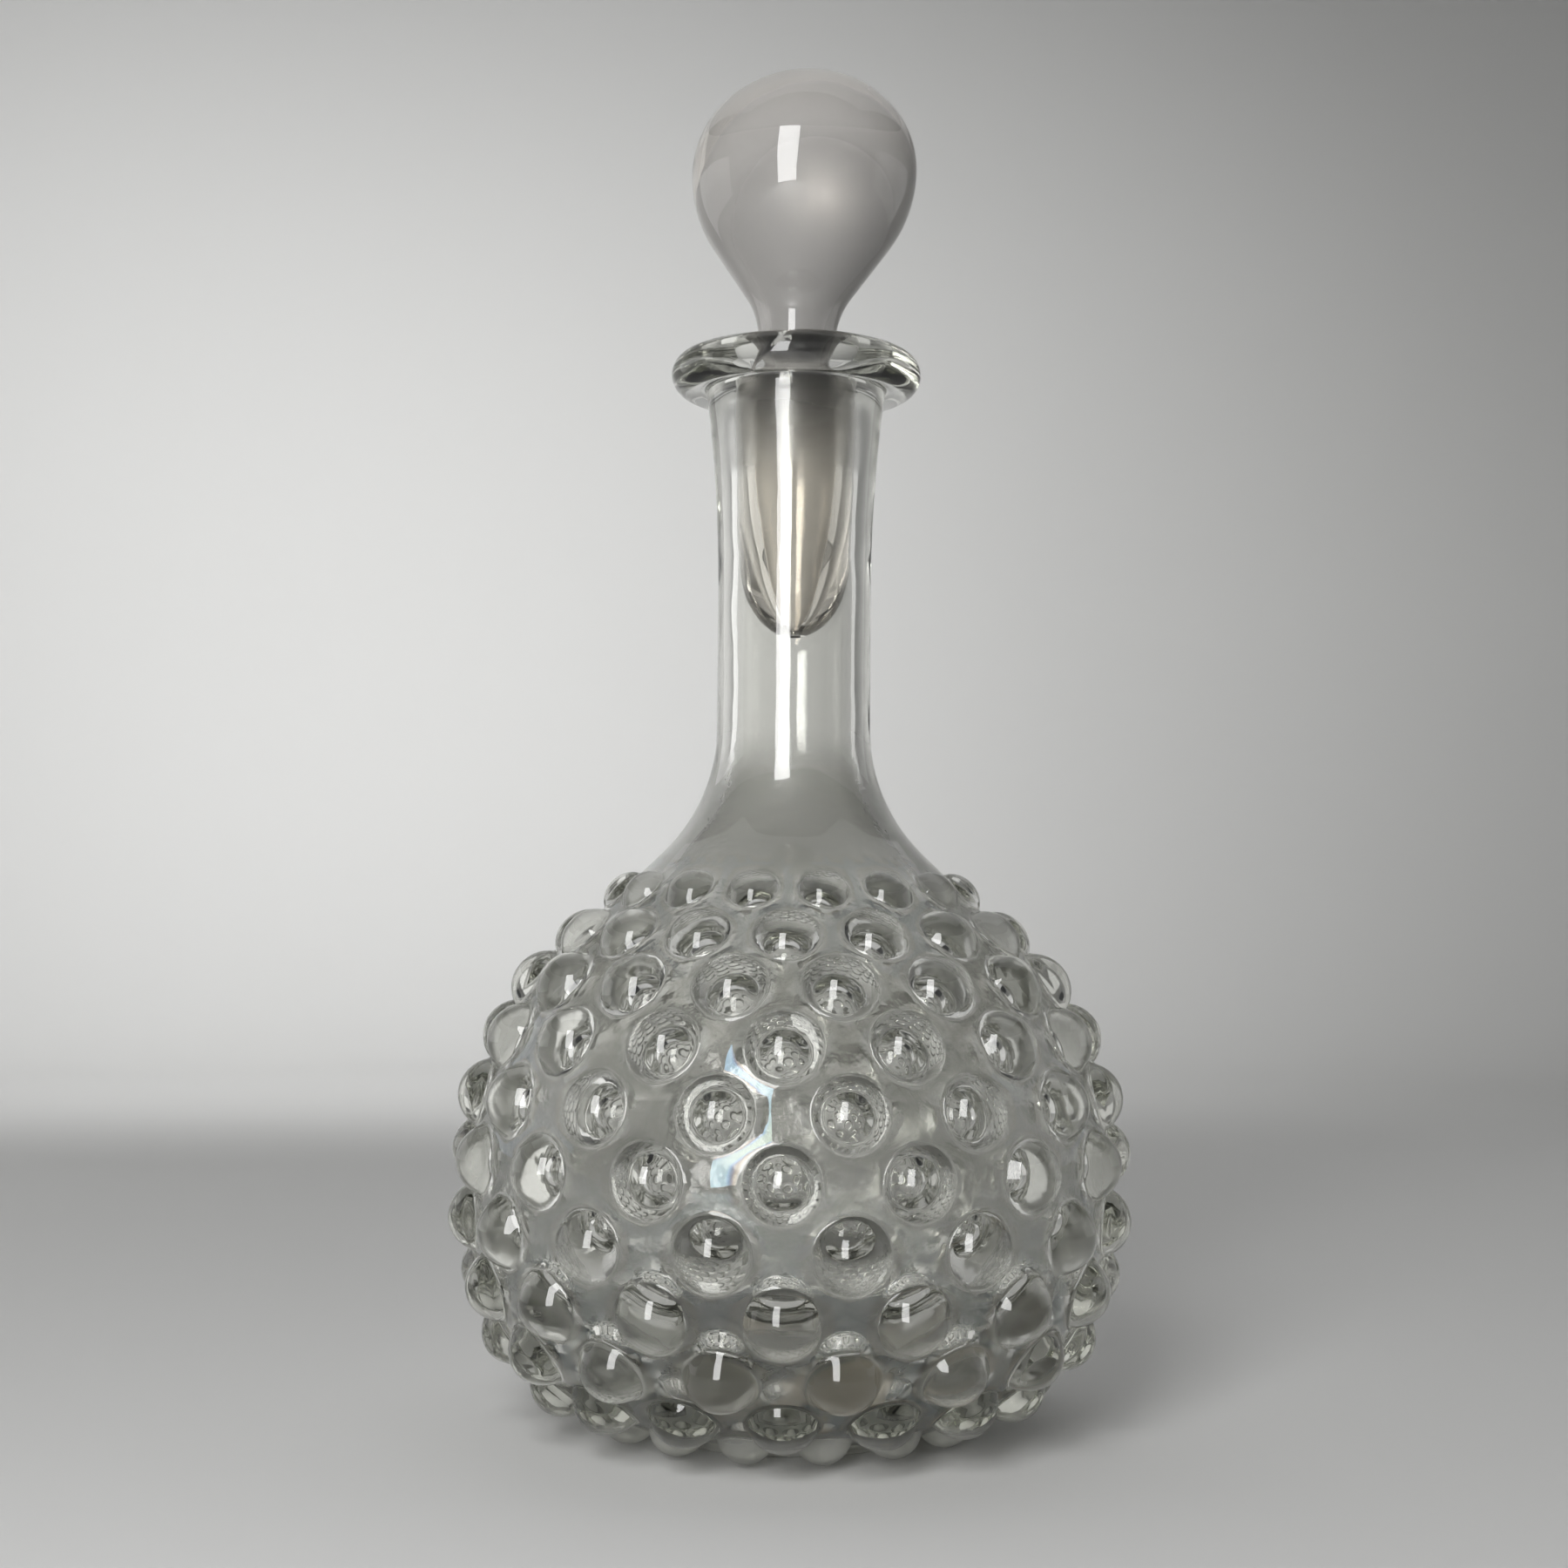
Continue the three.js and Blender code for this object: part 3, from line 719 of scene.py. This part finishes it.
def stopper_hollow():
    """A long ellipse in the plug, collar and waist, then a flank that touches the round end."""
    plug_top = np.array([plug_top_radius - PLUG_WALL, ground_top])
    wall_foot = waist - (SHANK_ARC_RADIUS + BULB_WALL) * flank_normal
    middle = np.array([0, bulb_height - BULB_HOLLOW_DROP])
    radius = (wall_foot - middle) @ flank_normal
    return chain(
        plug_end(plug_top, PLUG_HOLLOW_LENGTH, 16),
        *shank_curves(plug_top, BULB_WALL, 7),
        straight(wall_foot, middle + radius * flank_normal, 4),
        arc(middle, radius, -BULB_FLANK_SLOPE, np.pi / 2, 28),
    )


def lean(points):
    """Slides each level above the mouth towards +X in proportion to its height."""
    moved = points.copy()
    moved[..., 0] += np.tan(BULB_LEAN) * np.maximum(0, points[..., 2] - mouth_height)
    return moved


def build_stopper():
    """The outside from the blow hole to the top, then the hollow from the top down to it."""
    glass = Glass("inside", "ground", "veil")
    outer, inner = stopper_outside(), stopper_hollow()[::-1]
    outer[-1, 0] = inner[0, 0] = 0
    points = lean(turned(outer, STOPPER_COLUMNS))
    ground = ground_share(outer[:, 1])[:, None]
    veil = BULB_VEIL * smooth_step(outer[:, 1], mouth_height, shank_height)[:, None]
    glass.add(points, turned_faces(len(outer), STOPPER_COLUMNS), ground=ground, veil=veil)
    inner = np.concatenate([inner, outer[:1]])
    points = lean(turned(inner, STOPPER_COLUMNS))
    points[..., 0] += HOLLOW_SHIFT * smooth_step(points[..., 2], shank_height, bulb_height)
    hazy = smooth_step(inner[:, 1], mouth_height - MIST_FADE, mouth_height)[:, None]
    # A painted highlight: a bright patch on the front of the hollow, right of and below its middle,
    # stands in for light gathered there.
    spot = points[..., [0, 2]] - [points[0, 0, 0] + PAINTED_GLOW_PLACE[0], bulb_height + PAINTED_GLOW_PLACE[1]]
    painted_glow = PAINTED_GLOW_SHARE * np.exp(-np.linalg.norm(spot, axis=-1) / PAINTED_GLOW_REACH)
    painted_glow *= smooth_step(-points[..., 1], 0, PAINTED_GLOW_REACH)
    glass.add(points, turned_faces(len(inner), STOPPER_COLUMNS), inside=hazy, veil=painted_glow)
    return glass.make("stopper_glass")


stopper = build_stopper()
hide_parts("stopper")
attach(stopper, "stopper")

# %% [markdown]
# Clear glass is a Principled shader with full transmission. Real old glass is never quite even:
# it is faintly wavy, it greys where it is thick, its inside gathers haze and brown dregs, its
# underside is worn dull, and a skin of weather thinner than a wave of light shows faint rainbows.
# The tint of thick glass is a Volume Absorption, because colour belongs to depth and not to the
# surface. Haze could be a second mesh inside the first, but then light would cross two skins more.
# One material that reads marks on the points keeps the glass a single closed skin. Waves and haze
# are noises on Object coordinates, so they stay put on the glass.


# %% Helpers for materials
def new_material(name):
    """A material with an empty tree but for its output."""
    material = bpy.data.materials.new(name)
    material.use_nodes = True
    tree = material.node_tree
    tree.nodes.clear()
    output = tree.nodes.new("ShaderNodeOutputMaterial")
    return material, tree, output


def noise(tree, coordinates, scale, detail=2.0):
    """Noise whose scale counts waves to the metre."""
    node = tree.nodes.new("ShaderNodeTexNoise")
    node.inputs["Scale"].default_value = scale
    node.inputs["Detail"].default_value = detail
    tree.links.new(coordinates, node.inputs["Vector"])
    return node.outputs["Fac"]


def math(tree, operation, first, second):
    """One step of arithmetic on sockets or numbers."""
    node = tree.nodes.new("ShaderNodeMath")
    node.operation = operation
    for socket, value in zip(node.inputs, (first, second)):
        if isinstance(value, (int, float)):
            socket.default_value = value
        else:
            tree.links.new(value, socket)
    return node.outputs[0]


def ramp(tree, value, low, high, to_low=0.0, to_high=1.0):
    """Maps a value from one range to another, smoothly and clamped."""
    node = tree.nodes.new("ShaderNodeMapRange")
    node.interpolation_type = "SMOOTHSTEP"
    for name, number in zip(("From Min", "From Max", "To Min", "To Max"), (low, high, to_low, to_high)):
        node.inputs[name].default_value = number
    tree.links.new(value, node.inputs["Value"])
    return node.outputs["Result"]


def blend(tree, share, first, second):
    """Goes from the first colour to the second. A colour is three numbers or a socket."""
    node = tree.nodes.new("ShaderNodeMix")
    node.data_type = "RGBA"
    tree.links.new(share, node.inputs["Factor"])
    for socket, colour in zip((node.inputs[6], node.inputs[7]), (first, second)):
        if isinstance(colour, tuple):
            socket.default_value = (*colour, 1)
        else:
            tree.links.new(colour, socket)
    return node.outputs[2]


def mark(tree, name):
    """A mark that was stored on the points of the mesh."""
    node = tree.nodes.new("ShaderNodeAttribute")
    node.attribute_name = name
    return node.outputs["Fac"]


# %% Glass materials
GLASS_IOR = 1.52
STAIN_COLOUR = (0.4, 0.29, 0.15)
STAIN_WAVES = 110  # to the metre, like those below
STAIN_PATCHES = (0.4, 0.6)  # values of the noise between which a patch fades in, as below
HAZE_PATCHES = (0.35, 0.7)
FILM_WAVES = 30
FILM_PATCHES = (0.3, 0.7)
FILM_IOR = 1.4
FILM_THICKNESS = (115, 200)  # nanometres, of the weathered skin that makes faint rainbows


def glass_shader(tree, output, tint, depth_colour, depth_density):
    """Principled glass with the absorption that its thickness gives."""
    shader = tree.nodes.new("ShaderNodeBsdfPrincipled")
    shader.inputs["Base Color"].default_value = (*tint, 1)
    shader.inputs["IOR"].default_value = GLASS_IOR
    depth = tree.nodes.new("ShaderNodeVolumeAbsorption")
    depth.inputs["Color"].default_value = (*depth_colour, 1)
    depth.inputs["Density"].default_value = depth_density
    tree.links.new(shader.outputs[0], output.inputs["Surface"])
    tree.links.new(depth.outputs[0], output.inputs["Volume"])
    return shader


def add_waves(tree, shader, coordinates, layers):
    """Bumps from noises: each layer has waves to the metre, a height in metres, and the mark of
    the surfaces that it is kept to, or none."""
    normal = None
    for scale, height, where in layers:
        bump = tree.nodes.new("ShaderNodeBump")
        bump.inputs["Distance"].default_value = height
        waves = noise(tree, coordinates, scale)
        if where is not None:
            waves = math(tree, "MULTIPLY", waves, mark(tree, where))
        tree.links.new(waves, bump.inputs["Height"])
        if normal is not None:
            tree.links.new(normal, bump.inputs["Normal"])
        normal = bump.outputs[0]
    tree.links.new(normal, shader.inputs["Normal"])


def add_haze(tree, shader, coordinates, colour, waves, haze, roughness, ground):
    """Where a point is marked inside, a film of a colour clouds the glass in patches: it takes its
    share from the transmission and roughens the rest. A stain also clouds, in brown. A veil only
    clouds, with the colour of the glass; on the stopper's hollow the same mark also holds a painted
    bright patch, a painted highlight. Ground glass is only rough. A pair is (least, most)."""
    inside, stain = mark(tree, "inside"), mark(tree, "stain")
    patches = ramp(tree, noise(tree, coordinates, STAIN_WAVES), *STAIN_PATCHES)
    stain = math(tree, "MULTIPLY", stain, patches)
    tint = tuple(shader.inputs["Base Color"].default_value)[:3]
    # The veil mark also holds the painted bright patch, which takes the mist's dark colour back to the
    # glass's own tint there.
    clouded = math(tree, "SUBTRACT", inside, mark(tree, "veil"))
    tinted = blend(tree, clouded, tint, colour)
    tree.links.new(blend(tree, stain, tinted, STAIN_COLOUR), shader.inputs["Base Color"])
    cloud = noise(tree, coordinates, waves, detail=5)
    film = math(tree, "MULTIPLY", inside, ramp(tree, cloud, *HAZE_PATCHES, *haze))
    film = math(tree, "ADD", math(tree, "ADD", film, mark(tree, "veil")), stain)
    tree.links.new(math(tree, "SUBTRACT", 1.0, film), shader.inputs["Transmission Weight"])
    rough = math(tree, "MULTIPLY", inside, ramp(tree, cloud, *HAZE_PATCHES, *roughness))
    satin = math(tree, "MULTIPLY", mark(tree, "ground"), ground)
    tree.links.new(math(tree, "ADD", rough, satin), shader.inputs["Roughness"])


CLEAR_WAVES = ((60, 0.0003, None), (420, 0.00012, "inside"))
MISTED_WAVES = ((50, 0.0003, None),)


def clear_glass():
    """Gloss outside, a thin cloudy film inside, satin in the ground neck and faint rainbows."""
    material, tree, output = new_material("clear_glass")
    coordinates = tree.nodes.new("ShaderNodeTexCoord").outputs["Object"]
    shader = glass_shader(
        tree,
        output,
        tint=(0.93, 0.93, 0.91),
        depth_colour=(0.64, 0.65, 0.58),
        depth_density=20,
    )
    add_haze(
        tree,
        shader,
        coordinates,
        colour=(0.56, 0.56, 0.53),
        waves=40,
        haze=(0.14, 0.26),
        roughness=(0.15, 0.26),
        ground=0.2,
    )
    film = ramp(tree, noise(tree, coordinates, FILM_WAVES), *FILM_PATCHES, *FILM_THICKNESS)
    film = math(tree, "MULTIPLY", film, mark(tree, "skin"))
    tree.links.new(film, shader.inputs["Thin Film Thickness"])
    shader.inputs["Thin Film IOR"].default_value = FILM_IOR
    add_waves(tree, shader, coordinates, CLEAR_WAVES)
    return material


def misted_glass():
    """A thin veil in the ball's glass, mist on its hollow with a painted bright patch, a painted
    highlight, and a satin plug.
    """
    material, tree, output = new_material("misted_glass")
    coordinates = tree.nodes.new("ShaderNodeTexCoord").outputs["Object"]
    shader = glass_shader(
        tree,
        output,
        tint=(0.95, 0.92, 0.88),
        depth_colour=(0.75, 0.71, 0.65),
        depth_density=12,
    )
    add_haze(
        tree,
        shader,
        coordinates,
        colour=(0.1, 0.105, 0.12),
        waves=45,
        haze=(0.45, 0.55),
        roughness=(0.4, 0.5),
        ground=0.25,
    )
    add_waves(tree, shader, coordinates, MISTED_WAVES)
    return material


bottle.data.materials.append(clear_glass())
stopper.data.materials.append(misted_glass())
for piece in (bottle, stopper):
    print(piece.name, "has", [material.name for material in piece.data.materials])

# %% [markdown]
# The studio is one pale sweep: a floor that curves up into a round wall. Above the wall it is
# dim, because glass only shows its shape when part of what it mirrors and bends is dark.
# A tall soft window stands in front, to the left of the camera. Two lamps high up behind wash the
# wall and the floor, and a broad dim one on each side lights the edges. Small strong
# lamps would do it too, but glass mirrors them as hard lines.

# %% Studio
SWEEP_RADIUS = 1400
SWEEP_ROUNDING = 350
SWEEP_HEIGHT = 1100
SWEEP_COLUMNS = 96
PAPER = (0.72, 0.72, 0.71, 1)
SKY = (0.9, 0.93, 1.0, 1)
SKY_STRENGTH = 0.03


def sweep():
    """The floor and wall as a section turned about the axis, seen from its inside."""
    inner = SWEEP_RADIUS - SWEEP_ROUNDING
    section = chain(
        straight((0, 0), (inner, 0), 8),
        arc((inner, SWEEP_ROUNDING), SWEEP_ROUNDING, -np.pi / 2, 0, 16),
        straight((SWEEP_RADIUS, SWEEP_ROUNDING), (SWEEP_RADIUS, SWEEP_HEIGHT), 4),
    )
    stage = Glass()
    faces = turned_faces(len(section), SWEEP_COLUMNS)[:, ::-1]
    stage.add(turned(section, SWEEP_COLUMNS), faces)
    floor = stage.make("floor_and_backdrop")
    material, tree, output = new_material("pale_paper")
    shader = tree.nodes.new("ShaderNodeBsdfPrincipled")
    shader.inputs["Base Color"].default_value = PAPER
    shader.inputs["Roughness"].default_value = 0.9
    shader.inputs["Specular IOR Level"].default_value = 0.2
    tree.links.new(shader.outputs[0], output.inputs["Surface"])
    floor.data.materials.append(material)


def soft_light(name, place, aim, size, radiance, spread=180):
    """A rectangular lamp at a place, facing a point; places in millimetres. Its radiance is how
    bright the glass sees it, against one for white: watts over pi and the lamp's area."""
    lamp = bpy.data.lights.new(name, "AREA")
    lamp.shape = "RECTANGLE"
    lamp.size, lamp.size_y = size[0] / METRE, size[1] / METRE
    lamp.energy = radiance * np.pi * lamp.size * lamp.size_y
    lamp.spread = np.radians(spread)
    light = bpy.data.objects.new(name, lamp)
    bpy.context.scene.collection.objects.link(light)
    place, aim = Vector(place) / METRE, Vector(aim) / METRE
    facing = (aim - place).to_track_quat("-Z", "Y").to_matrix().to_4x4()
    light.matrix_world = Matrix.Translation(place) @ facing
    light.visible_camera = False
    print(name, "lamp of", round(lamp.energy, 2), "W")


sweep()
soft_light("window", (-150, -560, 290), (0, 0, 150), (205, 560), 11)
soft_light("wash_back", (-260, 300, 750), (-350, 1400, 250), (600, 300), 5.2, spread=100)
soft_light("wash_floor", (0, 420, 900), (0, 200, 0), (1300, 1100), 0.34, spread=140)
soft_light("edge_left", (-820, 200, 230), (0, 0, 90), (800, 440), 0.8)
soft_light("edge_right", (820, 200, 230), (0, 0, 90), (800, 440), 0.45)
world = bpy.data.worlds.new("studio")
world.use_nodes = True
sky = world.node_tree.nodes["Background"]
sky.inputs["Color"].default_value = SKY
sky.inputs["Strength"].default_value = SKY_STRENGTH
bpy.context.scene.world = world

# %% [markdown]
# Light crosses many skins of glass in a hollow body. With few bounces allowed the picture would
# come sooner, but parts of the glass would turn black, so there are many.

# %% Render settings that belong to the scene
scene = bpy.context.scene
scene.view_settings.view_transform = "Standard"
scene.cycles.max_bounces = 32
scene.cycles.transmission_bounces = 32
scene.cycles.glossy_bounces = 12

# %% Bring the scene up to date
bpy.context.view_layer.update()
